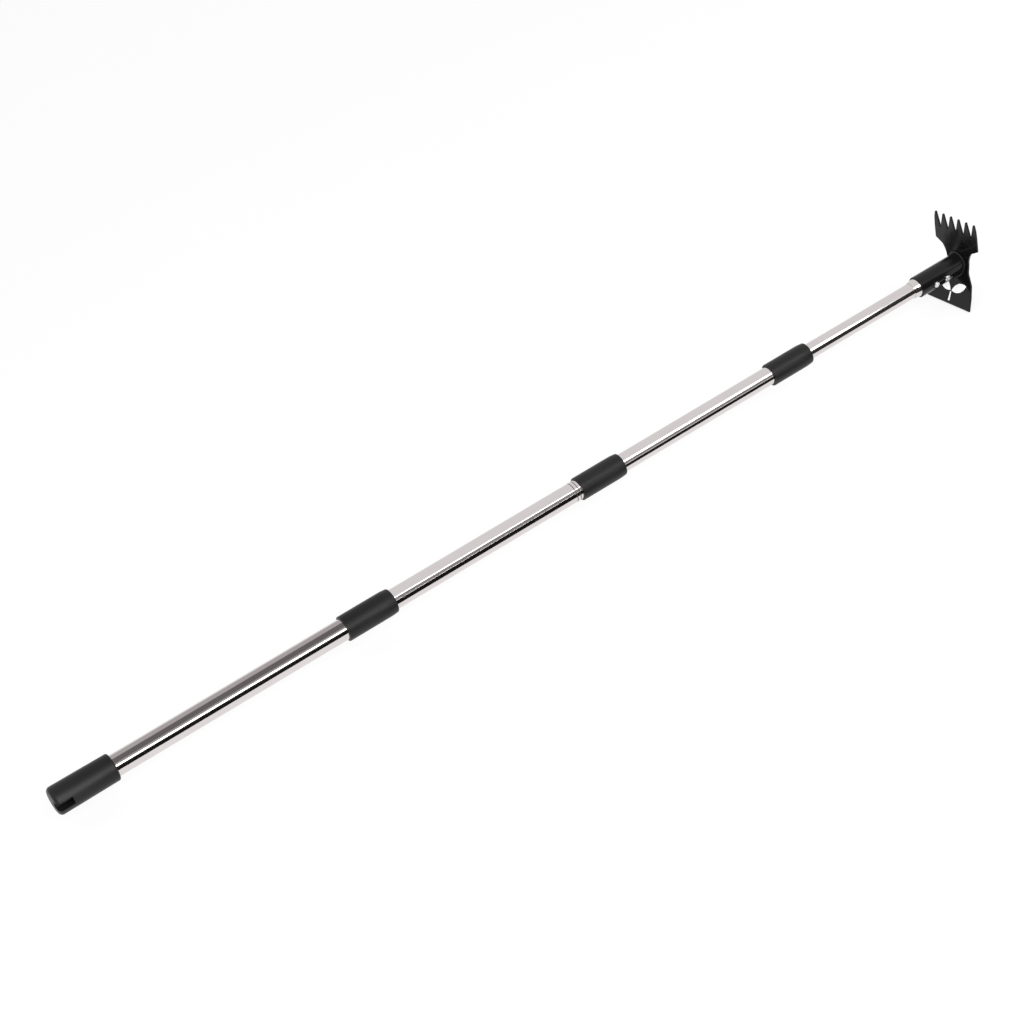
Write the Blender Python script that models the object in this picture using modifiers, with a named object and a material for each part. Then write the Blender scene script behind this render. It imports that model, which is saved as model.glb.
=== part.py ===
"""Telescopic garden hand tool: a four-section steel pole with a hoe blade and a rake on one head.

The pole's axis is +X, from the grip's end face at the origin to the head. The rake points up (+Z) and
the hoe blade points down. All lengths below are millimetres; MM turns them into Blender's metres.
"""

import math

import bmesh
import bpy
from mathutils import Matrix, Vector

MM = 0.001
GAP = 0.3

# Pole: tubes 1 to 4, from the grip to the head, each sliding inside the one before.
TUBE_DIAMETER = (25.0, 23.6, 21.8, 18.8)
TUBE_WALL = 0.4
TUBE_START = (24.0, 330.0, 640.0, 915.0)
TUBE_END = (418.0, 728.5, 999.0, 1222.0)
GROOVE_AT = 666.0
GROOVE_WIDTH = 1.2
GROOVE_DEPTH = 0.2

# End grip.
GRIP_LENGTH = 73.3
GRIP_RADIUS_END = 16.5
GRIP_RADIUS_FRONT = 15.9
GRIP_ROUNDING = 5.0
SLOT_LENGTH = 19.0
SLOT_WIDTH = 9.6
SLOT_FLOOR = 3.5

# Collars 1 to 3, each on the front end of its tube.
COLLAR_START = (360.5, 674.7, 948.7)
COLLAR_END = (423.7, 734.2, 1004.7)
COLLAR_RADIUS = (15.0, 14.0, 13.5)
COLLAR_TAPER = 0.7
COLLAR_TAPER_LENGTH = 7.0
COLLAR_LIP = 2.2

# Twist locks in the lower ends of tubes 2 to 4.
PLUG_LENGTH = 22.0
PLUG_FLANGE = 3.0
STUD_RADIUS = 3.5
STUD_LENGTH = 34.0
STUD_IN_PLUG = 14.0
EXPANDER_START = 33.6
EXPANDER_LENGTH = 25.0
EXPANDER_WALL = 2.2
EXPANDER_SLIT = 2.4
EXPANDER_BASE = 3.0
EXPANDER_CONE_DEPTH = 13.0
WEDGE_LENGTH = 12.0
WEDGE_STEP = 2.6
WASHER_RADIUS = 6.5
WASHER_THICKNESS = 1.6

# Head: one bent plate welded to a socket tube.
BEND_AT = 1236.8
RAKE_LEAN = math.radians(6.9)
BLADE_LEAN = math.radians(30.4)
BEND_HALF_LENGTH = 4.0
BEND_ROWS = 5
PLATE_THICKNESS = 2.5
TOOTH_COUNT = 6
TOOTH_PITCH = 13.6
TOOTH_TIP_WIDTH = 1.6
TOOTH_TIP_HEIGHT = 57.8
VALLEY_HEIGHT = 39.2
VALLEY_WIDTH = 0.9
RAKE_HALF_WIDTH = 37.3
SHOULDER_HEIGHT = 24.2
OUTER_TOOTH = ((36.7, 50.5), (37.3, 41.0))
NECK_ARC = ((26.4, 19.0), (19.0, 4.0), (21.2, -8.5))
NECK_STEPS = 9
BLADE_SIDE = ((30.6, -20.3), (35.0, -34.4))
BLADE_HALF_WIDTH = 38.0
BLADE_HEIGHT = 50.2
SOCKET_START = 1171.5
SOCKET_RADIUS = 13.1
SOCKET_WALL = 1.4
# The socket is turned this much too long and then coped back to the plate by blocks of this reach.
SOCKET_SPARE = 12.0
COPE_REACH = 60.0
SLEEVE_PROUD = 9.0
SLEEVE_FRONT_WALL = 0.5
SLEEVE_LENGTH = 44.0
BEAD_RADIUS = 1.5
SCREW_AT = (1191.2, 1208.0)
SCREW_ANGLE = math.radians(188.0)
SCREW_HEAD_RADIUS = 3.2
SCREW_HEAD_HEIGHT = 2.2
SCREW_SHANK_RADIUS = 1.7
SCREW_LENGTH = 7.2
SCREW_HOLE_LENGTH = 12.0
SCREW_HOLE_MIDDLE = 12.0

ROUND_STEPS = 32
SMALL_STEPS = 20

COLOURS = {
    "polished_steel": ((0.78, 0.77, 0.78, 1.0), 0.12, 1.0),
    "zinc_steel": ((0.72, 0.72, 0.70, 1.0), 0.30, 1.0),
    "black_plastic": ((0.020, 0.020, 0.021, 1.0), 0.55, 0.0),
    "white_nylon": ((0.70, 0.70, 0.66, 1.0), 0.45, 0.0),
    "brass": ((0.60, 0.42, 0.16, 1.0), 0.35, 1.0),
    "black_paint": ((0.010, 0.010, 0.011, 1.0), 0.22, 0.0),
}


def clear_scene():
    for obj in list(bpy.data.objects):
        bpy.data.objects.remove(obj, do_unlink=True)


def new_collection(name):
    collection = bpy.data.collections.new(name)
    bpy.context.scene.collection.children.link(collection)
    return collection


def material(name, finish):
    colour, roughness, metallic = COLOURS[finish]
    made = bpy.data.materials.new(name + "_" + finish)
    made.use_nodes = True
    shader = made.node_tree.nodes["Principled BSDF"]
    shader.inputs["Base Color"].default_value = colour
    shader.inputs["Roughness"].default_value = roughness
    shader.inputs["Metallic"].default_value = metallic
    made.diffuse_color = colour
    return made


def add_object(name, data, collection, finish=None):
    obj = bpy.data.objects.new(name, data)
    collection.objects.link(obj)
    if finish:
        data.materials.append(material(name, finish))
    return obj


def turned(name, profile, collection, finish, closed=True, steps=ROUND_STEPS):
    """A piece turned about the pole's axis.

    The profile is (x, radius) points that run along the outer side towards the grip and back
    along the bore. It is closed on itself, or open where both of its ends lie on the axis.
    """
    mesh = bpy.data.meshes.new(name)
    points = [(radius * MM, 0.0, x * MM) for x, radius in profile]
    edges = [(i, i + 1) for i in range(len(points) - 1)]
    if closed:
        edges.append((len(points) - 1, 0))
    mesh.from_pydata(points, edges, [])
    obj = add_object(name, mesh, collection, finish)
    obj.rotation_euler = (0.0, math.pi / 2, 0.0)
    screw = obj.modifiers.new("Turn", "SCREW")
    screw.steps = steps
    screw.render_steps = steps
    screw.use_merge_vertices = True
    screw.merge_threshold = 0.00001
    screw.use_smooth_shade = False
    return obj


def cut(obj, cutter):
    boolean = obj.modifiers.new("Cut_" + cutter.name, "BOOLEAN")
    boolean.operation = "DIFFERENCE"
    boolean.object = cutter


def make_cutter(obj):
    obj.hide_render = True
    obj.display_type = "WIRE"


def box_cutter(name, low, high, collection, turn=None):
    """A box between two corners, turned about the bend line when an angle is given."""
    mesh = bpy.data.meshes.new(name)
    shape = bmesh.new()
    bmesh.ops.create_cube(shape, size=1.0)
    size = Vector(high) - Vector(low)
    middle = (Vector(high) + Vector(low)) / 2
    bmesh.ops.scale(shape, vec=size * MM, verts=shape.verts)
    bmesh.ops.translate(shape, vec=middle * MM, verts=shape.verts)
    shape.to_mesh(mesh)
    shape.free()
    obj = add_object(name, mesh, collection)
    if turn is not None:
        obj.location = (BEND_AT * MM, 0.0, 0.0)
        obj.rotation_euler = (0.0, turn, 0.0)
    make_cutter(obj)
    return obj


def end_grip(parts, cutters):
    """Plastic cap over the free end of tube 1, with a notch to hang it by in the side facing -Y."""
    bore = TUBE_DIAMETER[0] / 2 + GAP
    profile = [
        (GRIP_LENGTH, bore),
        (GRIP_LENGTH, GRIP_RADIUS_FRONT - 1.0),
        (GRIP_LENGTH - 0.4, GRIP_RADIUS_FRONT - 0.3),
        (GRIP_LENGTH - 1.2, GRIP_RADIUS_FRONT),
    ]
    for step in range(5):
        angle = math.radians(90.0 * step / 4)
        x = GRIP_ROUNDING * (1 - math.sin(angle))
        radius = GRIP_RADIUS_END - GRIP_ROUNDING * (1 - math.cos(angle))
        profile.append((x, radius))
    profile += [(0.0, 0.0), (TUBE_START[0] - GAP, 0.0), (TUBE_START[0] - GAP, bore)]
    # The profile starts and ends on the axis, so the list begins at the blind end of the bore.
    profile = profile[-2:] + profile[:-2]
    grip = turned("end_grip", profile, parts, "black_plastic", closed=False)
    slot = box_cutter(
        "slot_cutter",
        (-2.0, -GRIP_RADIUS_END - 3.0, -SLOT_WIDTH / 2),
        (SLOT_LENGTH, -SLOT_FLOOR, SLOT_WIDTH / 2),
        cutters,
    )
    cut(grip, slot)


def tube(number, parts):
    """One thin-walled section; tube 2 has the shallow mark ring that warns of its end."""
    outer = TUBE_DIAMETER[number - 1] / 2
    start = TUBE_START[number - 1]
    end = TUBE_END[number - 1]
    profile = [(end, outer)]
    if number == 2:
        half = GROOVE_WIDTH / 2
        floor = outer - GROOVE_DEPTH
        profile.append((GROOVE_AT + half, outer))
        profile.append((GROOVE_AT + half - 0.2, floor))
        profile.append((GROOVE_AT - half + 0.2, floor))
        profile.append((GROOVE_AT - half, outer))
    profile.append((start, outer))
    profile.append((start, outer - TUBE_WALL))
    profile.append((end, outer - TUBE_WALL))
    return turned("tube_%d" % number, profile, parts, "polished_steel")


def collar(number, parts):
    """Plastic collar: square at the back, tapered at the front, with a lip that stops its tube."""
    start = COLLAR_START[number - 1]
    end = COLLAR_END[number - 1]
    outer = COLLAR_RADIUS[number - 1]
    back_bore = TUBE_DIAMETER[number - 1] / 2 + GAP
    front_bore = TUBE_DIAMETER[number] / 2 + GAP
    lip_at = TUBE_END[number - 1] + GAP
    profile = [
        (end, front_bore),
        (end, outer - COLLAR_TAPER - 1.0),
        (end - 0.5, outer - COLLAR_TAPER - 0.3),
        (end - 1.4, outer - COLLAR_TAPER),
        (end - COLLAR_TAPER_LENGTH, outer - 0.15),
        (end - COLLAR_TAPER_LENGTH - 5.0, outer),
        (start + 0.5, outer),
        (start, outer - 0.5),
        (start, back_bore),
        (lip_at, back_bore),
        (lip_at, front_bore),
    ]
    return turned("collar_%d" % number, profile, parts, "black_plastic")


def lock(number, parts, cutters):
    """The twist lock of one tube: plug, threaded stud, split sleeve, wedge nut and end washer."""
    start = TUBE_START[number - 1]
    tube_bore = TUBE_DIAMETER[number - 1] / 2 - TUBE_WALL
    outer_bore = TUBE_DIAMETER[number - 2] / 2 - TUBE_WALL
    stud_hole = STUD_RADIUS + GAP

    flange = start - PLUG_FLANGE
    plug_profile = [
        (start + PLUG_LENGTH, 0.0),
        (start + PLUG_LENGTH, tube_bore - GAP - 1.0),
        (start + PLUG_LENGTH - 1.0, tube_bore - GAP),
        (start - GAP, tube_bore - GAP),
        (start - GAP, TUBE_DIAMETER[number - 1] / 2),
        (flange, TUBE_DIAMETER[number - 1] / 2),
        (flange, stud_hole),
        (start + STUD_IN_PLUG + GAP, stud_hole),
        (start + STUD_IN_PLUG + GAP, 0.0),
    ]
    turned("lock_plug_%d" % number, plug_profile, parts, "black_plastic", closed=False)

    stud_profile = [
        (start + STUD_IN_PLUG, 0.0),
        (start + STUD_IN_PLUG, STUD_RADIUS),
        (start - STUD_LENGTH, STUD_RADIUS),
        (start - STUD_LENGTH, 0.0),
    ]
    turned("lock_stud_%d" % number, stud_profile, parts, "zinc_steel", False, SMALL_STEPS)

    sleeve = outer_bore - GAP
    back = start - EXPANDER_START
    front = back + EXPANDER_LENGTH
    mouth = front - EXPANDER_CONE_DEPTH
    inner = sleeve - EXPANDER_WALL
    profile = [
        (front, sleeve - 0.4),
        (front - 0.8, sleeve),
        (back + 0.8, sleeve),
        (back, sleeve - 0.4),
        (back, stud_hole),
        (back + EXPANDER_BASE, stud_hole),
        (mouth, inner - WEDGE_STEP - 0.4),
        (front, inner + 0.6),
    ]
    expander = turned("expander_%d" % number, profile, parts, "white_nylon")
    slit = box_cutter(
        "slit_cutter_%d" % number,
        (back + EXPANDER_BASE + 2.0, -EXPANDER_SLIT / 2, 0.0),
        (front + 2.0, EXPANDER_SLIT / 2, sleeve + 3.0),
        cutters,
    )
    cut(expander, slit)

    wedge_front = front + 1.4
    wedge_profile = [
        (wedge_front, stud_hole),
        (wedge_front, inner - GAP),
        (wedge_front - 1.4, inner - GAP),
        (wedge_front - WEDGE_LENGTH, inner - WEDGE_STEP - GAP),
        (wedge_front - WEDGE_LENGTH, stud_hole),
    ]
    turned("wedge_nut_%d" % number, wedge_profile, parts, "brass")

    washer = start - STUD_LENGTH - GAP
    washer_profile = [
        (washer, 0.0),
        (washer, WASHER_RADIUS),
        (washer - WASHER_THICKNESS, WASHER_RADIUS),
        (washer - WASHER_THICKNESS, 0.0),
    ]
    turned("lock_cap_%d" % number, washer_profile, parts, "zinc_steel", False, SMALL_STEPS)


def arc_through(first, middle, last, count):
    """Points on the circle through three points, ends included."""
    ax, ay = first
    bx, by = middle
    cx, cy = last
    scale = 2 * (ax * (by - cy) + bx * (cy - ay) + cx * (ay - by))
    a2 = ax * ax + ay * ay
    b2 = bx * bx + by * by
    c2 = cx * cx + cy * cy
    ux = (a2 * (by - cy) + b2 * (cy - ay) + c2 * (ay - by)) / scale
    uy = (a2 * (cx - bx) + b2 * (ax - cx) + c2 * (bx - ax)) / scale
    radius = math.hypot(ax - ux, ay - uy)
    start = math.atan2(ay - uy, ax - ux)
    turn = math.atan2(cy - uy, cx - ux) - start
    turn = (turn + math.pi) % (2 * math.pi) - math.pi
    angles = [start + turn * i / (count - 1) for i in range(count)]
    return [(ux + radius * math.cos(t), uy + radius * math.sin(t)) for t in angles]


def half_outline():
    """The +Y half of the flat plate as (across, along) points, from the middle valley to the edge."""
    points = [(VALLEY_WIDTH / 2, VALLEY_HEIGHT)]
    for tooth in range(TOOTH_COUNT // 2):
        centre = TOOTH_PITCH * (tooth + 0.5)
        points.append((centre - TOOTH_TIP_WIDTH / 2, TOOTH_TIP_HEIGHT))
        points.append((centre + TOOTH_TIP_WIDTH / 2, TOOTH_TIP_HEIGHT))
        if tooth < TOOTH_COUNT // 2 - 1:
            valley = TOOTH_PITCH * (tooth + 1)
            points.append((valley - VALLEY_WIDTH / 2, VALLEY_HEIGHT))
            points.append((valley + VALLEY_WIDTH / 2, VALLEY_HEIGHT))
    points += OUTER_TOOTH
    points.append((RAKE_HALF_WIDTH, SHOULDER_HEIGHT))
    points += arc_through(*NECK_ARC, NECK_STEPS)
    points += BLADE_SIDE
    points.append((BLADE_HALF_WIDTH, -BLADE_HEIGHT))
    return points


def fold(along):
    """Where a height along the flat plate comes to, as (x, z), with a round bend in the middle."""
    if along >= BEND_HALF_LENGTH:
        x, z = bend_point(1.0)
        rest = along - BEND_HALF_LENGTH
        return x + rest * math.sin(RAKE_LEAN), z + rest * math.cos(RAKE_LEAN)
    if along <= -BEND_HALF_LENGTH:
        x, z = bend_point(-1.0)
        rest = -along - BEND_HALF_LENGTH
        return x - rest * math.sin(BLADE_LEAN), z - rest * math.cos(BLADE_LEAN)
    return bend_point(along / BEND_HALF_LENGTH)


def bend_point(share):
    """A point of the round bend, share -1 at its lower end to 1 at its upper end."""
    middle = (RAKE_LEAN + BLADE_LEAN) / 2
    half_turn = (BLADE_LEAN - RAKE_LEAN) / 2
    radius = BEND_HALF_LENGTH / half_turn
    angle = share * half_turn
    # The plate's direction turns from the blade's lean to the rake's lean along the arc.
    across = radius * (math.cos(angle) - 1)
    along = radius * math.sin(angle)
    x = along * math.sin(middle) + across * math.cos(middle)
    z = along * math.cos(middle) - across * math.sin(middle)
    return BEND_AT + x, z


def head_plate(parts):
    """Rake and hoe blade, cut from one sheet and bent about the line where the socket meets it."""
    half = half_outline()
    outline = half + [(-across, along) for across, along in reversed(half)]
    shape = bmesh.new()
    corners = [shape.verts.new((0.0, across, along)) for across, along in outline]
    shape.faces.new(corners)
    for row in range(BEND_ROWS + 1):
        level = BEND_HALF_LENGTH * (2 * row / BEND_ROWS - 1)
        geometry = shape.verts[:] + shape.edges[:] + shape.faces[:]
        bmesh.ops.bisect_plane(shape, geom=geometry, plane_co=(0, 0, level), plane_no=(0, 0, 1))
    for vert in shape.verts:
        x, z = fold(vert.co.z)
        vert.co = Vector((x, vert.co.y, z)) * MM
    bmesh.ops.recalc_face_normals(shape, faces=shape.faces)
    mesh = bpy.data.meshes.new("head_plate")
    shape.to_mesh(mesh)
    shape.free()
    obj = add_object("head_plate", mesh, parts, "black_paint")
    solid = obj.modifiers.new("Sheet", "SOLIDIFY")
    solid.thickness = PLATE_THICKNESS * MM
    solid.offset = 0.0
    solid.use_even_offset = True


def screw_cutter(index, collection):
    """A clearance hole for one fixing screw, square to the pole."""
    mesh = bpy.data.meshes.new("screw_hole_%d" % index)
    shape = bmesh.new()
    bmesh.ops.create_cone(
        shape,
        cap_ends=True,
        segments=SMALL_STEPS,
        radius1=(SCREW_SHANK_RADIUS + GAP) * MM,
        radius2=(SCREW_SHANK_RADIUS + GAP) * MM,
        depth=SCREW_HOLE_LENGTH * MM,
    )
    bmesh.ops.translate(shape, vec=(0, 0, SCREW_HOLE_MIDDLE * MM), verts=shape.verts)
    shape.to_mesh(mesh)
    shape.free()
    obj = add_object("screw_hole_%d" % index, mesh, collection)
    obj.matrix_world = screw_place(index)
    make_cutter(obj)
    return obj


def screw_place(index):
    """Local +Z points out of the socket along the screw, from a point on the pole's axis."""
    turn = Matrix.Rotation(SCREW_ANGLE - math.pi / 2, 4, "X")
    place = Matrix.Translation((SCREW_AT[index] * MM, 0, 0))
    return place @ turn


def fixing_screw(index, parts):
    name = "fixing_screw_%d" % (index + 1)
    seat = SOCKET_RADIUS + 2 * GAP
    top = seat + SCREW_HEAD_HEIGHT
    profile = [(top, 0.0)]
    for step in range(1, 5):
        angle = math.radians(90.0 * step / 4)
        drop = SCREW_HEAD_HEIGHT * 0.75 * (1 - math.cos(angle))
        profile.append((top - drop, SCREW_HEAD_RADIUS * math.sin(angle)))
    profile.append((seat, SCREW_HEAD_RADIUS))
    profile.append((seat, SCREW_SHANK_RADIUS))
    profile.append((seat - SCREW_LENGTH, SCREW_SHANK_RADIUS))
    profile.append((seat - SCREW_LENGTH - 1.0, 0.0))
    screw = turned(name, profile, parts, "zinc_steel", False, SMALL_STEPS)
    screw.matrix_world = screw_place(index)


def socket(parts, cutters):
    """Socket tube, with its front end coped to the two leans of the plate."""
    outer = SOCKET_RADIUS
    inner = SOCKET_RADIUS - SOCKET_WALL
    end = BEND_AT + SOCKET_SPARE
    profile = [
        (end, outer),
        (SOCKET_START + 0.3, outer),
        (SOCKET_START, outer - 0.3),
        (SOCKET_START, inner),
        (end, inner),
    ]
    obj = turned("socket", profile, parts, "black_paint")
    near = -PLATE_THICKNESS / 2 - GAP
    low = (near, -COPE_REACH, -COPE_REACH)
    high = (COPE_REACH, COPE_REACH, COPE_REACH)
    cut(obj, box_cutter("rake_side_cutter", low, high, cutters, RAKE_LEAN))
    cut(obj, box_cutter("blade_side_cutter", low, high, cutters, BLADE_LEAN))
    return obj


def reducer_sleeve(parts):
    """Bright sleeve that fills the space between tube 4 and the socket, and tapers down to the tube in front of it."""
    outer = SOCKET_RADIUS - SOCKET_WALL - GAP
    inner = TUBE_DIAMETER[3] / 2 + GAP
    start = SOCKET_START - SLEEVE_PROUD
    end = start + SLEEVE_LENGTH
    profile = [
        (end, outer),
        (SOCKET_START, outer),
        (start, inner + SLEEVE_FRONT_WALL),
        (start, inner),
        (end, inner),
    ]
    return turned("reducer_sleeve", profile, parts, "polished_steel")


def weld_bead(parts):
    """Fillet of weld round the socket where it meets the plate."""
    curve = bpy.data.curves.new("weld_bead", "CURVE")
    curve.dimensions = "3D"
    curve.bevel_depth = BEAD_RADIUS * MM
    curve.bevel_resolution = 2
    curve.render_resolution_u = 0
    spline = curve.splines.new("POLY")
    count = 40
    spline.points.add(count - 1)
    ring = SOCKET_RADIUS + GAP + BEAD_RADIUS
    back_off = PLATE_THICKNESS / 2 + GAP + BEAD_RADIUS
    for i in range(count):
        angle = 2 * math.pi * (i + 0.5) / count
        z = ring * math.sin(angle)
        lean = RAKE_LEAN if z > 0 else BLADE_LEAN
        x = BEND_AT + z * math.tan(lean) - back_off / math.cos(lean)
        spline.points[i].co = (x * MM, ring * math.cos(angle) * MM, z * MM, 1.0)
    spline.use_cyclic_u = True
    add_object("weld_bead", curve, parts, "black_paint")


def shade(parts):
    for obj in parts.objects:
        if obj.type == "MESH":
            obj.data.shade_smooth()


def main():
    clear_scene()
    parts = new_collection("telescopic_hoe_and_rake")
    cutters = new_collection("cutters")
    end_grip(parts, cutters)
    tubes = [tube(number, parts) for number in (1, 2, 3, 4)]
    for number in (1, 2, 3):
        collar(number, parts)
    for number in (2, 3, 4):
        lock(number, parts, cutters)
    head_plate(parts)
    socket_tube = socket(parts, cutters)
    sleeve = reducer_sleeve(parts)
    weld_bead(parts)
    for index in range(len(SCREW_AT)):
        hole = screw_cutter(index, cutters)
        for holed in (socket_tube, sleeve, tubes[3]):
            cut(holed, hole)
        fixing_screw(index, parts)
    shade(parts)


main()
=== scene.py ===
"""A telescopic hoe and rake: four polished tubes, black plastic grip and collars, and a black enamelled head.

Lengths are in metres. +X runs along the pole from the grip to the head, and +Z is up through the rake.
"""

import math

import bmesh
import bpy
from mathutils import Matrix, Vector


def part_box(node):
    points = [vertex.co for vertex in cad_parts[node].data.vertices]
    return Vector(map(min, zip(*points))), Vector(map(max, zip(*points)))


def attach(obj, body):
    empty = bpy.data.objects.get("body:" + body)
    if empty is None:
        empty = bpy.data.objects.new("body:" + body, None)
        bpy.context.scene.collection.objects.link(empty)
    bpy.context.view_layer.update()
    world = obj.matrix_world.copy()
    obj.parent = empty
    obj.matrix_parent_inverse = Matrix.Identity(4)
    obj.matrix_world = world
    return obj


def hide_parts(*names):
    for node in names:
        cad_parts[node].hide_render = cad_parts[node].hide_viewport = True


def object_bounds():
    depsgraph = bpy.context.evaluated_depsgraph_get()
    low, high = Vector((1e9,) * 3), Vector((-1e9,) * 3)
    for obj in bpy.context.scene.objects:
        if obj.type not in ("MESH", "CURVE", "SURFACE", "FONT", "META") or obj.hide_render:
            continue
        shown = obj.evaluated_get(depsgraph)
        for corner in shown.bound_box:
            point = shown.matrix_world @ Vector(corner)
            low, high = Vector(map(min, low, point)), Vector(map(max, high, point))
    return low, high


bl_info = {
    "name": "Telescopic Hoe and Rake",
    "version": (1, 0, 0),
    "blender": (4, 5, 0),
    "location": "3D Viewport > Sidebar > Hoe and Rake",
    "description": "Builds the visible pieces of a telescopic hoe and rake on its packed frame",
    "category": "Add Mesh",
}

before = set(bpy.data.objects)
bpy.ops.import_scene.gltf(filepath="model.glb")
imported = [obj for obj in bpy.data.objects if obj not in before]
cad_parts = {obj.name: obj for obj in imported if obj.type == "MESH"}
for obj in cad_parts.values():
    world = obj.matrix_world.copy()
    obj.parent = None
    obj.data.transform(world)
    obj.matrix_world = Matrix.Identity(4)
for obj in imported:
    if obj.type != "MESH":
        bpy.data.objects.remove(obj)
FRAME_LOW, FRAME_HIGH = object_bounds()

MM = 0.001
TUBES = (1, 2, 3, 4)
ROUND_SIDES = 96
BODY_OF_TUBE = {1: "handle", 2: "stage_2", 3: "stage_3", 4: "stage_4"}
# The room left round a tube in a fitting's bore, and past a tube's end.
FIT_GAP = 0.15 * MM
END_GAP = 0.3 * MM
# Vertices picked by place may sit this far off it.
NEAR = 0.02 * MM


def linear(hex_colour):
    """Linear red, green and blue of an sRGB colour such as #2E2D2E."""
    shares = [int(hex_colour[i : i + 2], 16) / 255 for i in (1, 3, 5)]
    return [s / 12.92 if s <= 0.04045 else ((s + 0.055) / 1.055) ** 2.4 for s in shares]


def length(name, description, default_mm):
    return bpy.props.FloatProperty(
        name=name,
        description=description,
        default=default_mm * MM,
        unit="LENGTH",
        subtype="DISTANCE",
        precision=5,
    )


def angle(name, description, default_degrees):
    return bpy.props.FloatProperty(
        name=name,
        description=description,
        default=math.radians(default_degrees),
        unit="ROTATION",
        subtype="ANGLE",
    )


def colour(name, description, hex_colour):
    return bpy.props.FloatVectorProperty(
        name=name,
        description=description,
        default=linear(hex_colour),
        subtype="COLOR",
        size=3,
        min=0.0,
        max=1.0,
    )


class PoleSizes(bpy.types.PropertyGroup):
    wall: length("Tube Wall", "Thickness of each tube's wall", 0.4)
    ring_at: length("Mark Ring Place", "Where the first mark line is rolled into the second tube", 666.3)
    ring_gap: length("Mark Ring Gap", "Distance between the two rolled lines", 4.4)
    ring_width: length("Mark Ring Width", "Width of a rolled line", 0.9)
    ring_depth: length("Mark Ring Depth", "Depth of a rolled line", 0.3)
    grip_rounding: length("Grip Rounding", "Radius of the grip's free end", 5.0)
    grip_front: length("Grip Front Radius", "Outside radius where the grip ends on the tube", 15.9)
    notch_length: length("Notch Length", "How far the hanging notch runs in from the free end", 19.0)
    notch_width: length("Notch Width", "Width of the hanging notch", 9.6)
    notch_floor: length("Notch Floor", "Distance from the pole's middle to the notch's floor", 3.5)
    collar_taper: length("Collar Taper", "How much smaller in radius a collar is at its front", 0.7)
    collar_taper_length: length("Collar Taper Length", "Length of a collar's tapered front", 7.0)
    collar_lip: length("Collar Lip", "Width of the small bevel round a collar's square back", 0.25)


class HeadSizes(bpy.types.PropertyGroup):
    bend_at: length("Bend Place", "Where the plate's bend crosses the pole's middle line", 1236.8)
    rake_lean: angle("Rake Lean", "How far the rake leans away from the grip", 6.9)
    blade_lean: angle("Blade Lean", "How far the blade leans towards the grip", 30.4)
    bend_half: length("Bend Half Length", "Half the height of the rounded bend", 4.0)
    thickness: length("Plate Thickness", "Thickness of the sheet", 2.5)
    tooth_pitch: length("Tooth Pitch", "Distance from one tooth to the next", 13.6)
    tooth_tip: length("Tooth Tip Width", "Width of a tooth's blunt tip", 1.6)
    tooth_height: length("Tooth Height", "Height of the tips above the bend", 57.8)
    valley_height: length("Valley Height", "Height of the valleys above the bend", 39.2)
    valley_width: length("Valley Width", "Width of a valley's floor", 0.9)
    shoulder_height: length("Shoulder Height", "Height of the rake's square shoulders above the bend", 24.2)
    rake_half: length("Rake Half Width", "Half the width of the rake", 37.3)
    edge_break: length("Edge Break", "Rounding that paint and tumbling leave on cut edges", 0.35)
    socket_wall: length("Socket Wall", "Thickness of the socket's wall", 1.4)
    bead_radius: length("Weld Bead Radius", "Radius of the weld bead", 1.6)
    screw_angle: angle("Screw Angle", "Where the screws stand round the pole, from +Y towards +Z", 188.0)
    screw_head: length("Screw Head Radius", "Radius of a pan head", 3.5)


class Finishes(bpy.types.PropertyGroup):
    steel: colour("Stainless Steel", "Polished tube", "#DDD8D7")
    plastic: colour("Grip Plastic", "Grip and collars", "#151415")
    lock_plastic: colour("Lock Plastic", "Plugs inside the tubes", "#1E1F20")
    nylon: colour("Nylon", "Split sleeves inside the tubes", "#E4E0D4")
    brass: colour("Brass", "Wedge nuts inside the tubes", "#B8934E")
    zinc: colour("Zinc Plating", "Screws, studs and caps", "#F4F5F6")
    enamel: colour("Black Enamel", "Head, socket and weld", "#0C0C0D")
    print_white: colour("Print White", "Mark on the blade", "#FFFFFF")
    floor: colour("Floor", "Studio floor", "#F6F6F6")


class StudioSizes(bpy.types.PropertyGroup):
    lens: bpy.props.FloatProperty(
        name="Lens", description="Focal length on a 36 mm wide sensor", default=91.406, unit="CAMERA"
    )
    camera_place: bpy.props.FloatVectorProperty(
        name="Camera Place",
        description="Where the camera stands",
        default=(-0.3525, -2.2350, 1.5458),
        unit="LENGTH",
    )
    camera_turn: bpy.props.FloatVectorProperty(
        name="Camera Turn",
        description="The camera's turn about X, Y and Z",
        default=[math.radians(a) for a in (56.4996, 15.2001, -32.712)],
        subtype="EULER",
    )
    sky: bpy.props.FloatProperty(name="Wall Glow", description="Brightness of the room's walls", default=0.9)
    table: bpy.props.FloatProperty(name="Table Glow", description="Brightness of the lit table", default=0.8)
    softbox: bpy.props.FloatProperty(
        name="Softbox Power",
        description="Power of the softbox over the camera, in watts",
        default=110.0,
        unit="POWER",
    )


# Making meshes by hand


def sizes():
    scene = bpy.context.scene
    return scene.hoe_rake_pole, scene.hoe_rake_head


def deselect_all():
    if bpy.context.mode != "OBJECT":
        bpy.ops.object.mode_set(mode="OBJECT")
    bpy.ops.object.select_all(action="DESELECT")


def make_active(obj):
    deselect_all()
    obj.select_set(True)
    bpy.context.view_layer.objects.active = obj


def edit(obj):
    make_active(obj)
    bpy.ops.object.mode_set(mode="EDIT")
    bpy.ops.mesh.select_mode(type="VERT")
    bpy.ops.mesh.select_all(action="SELECT")


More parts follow.
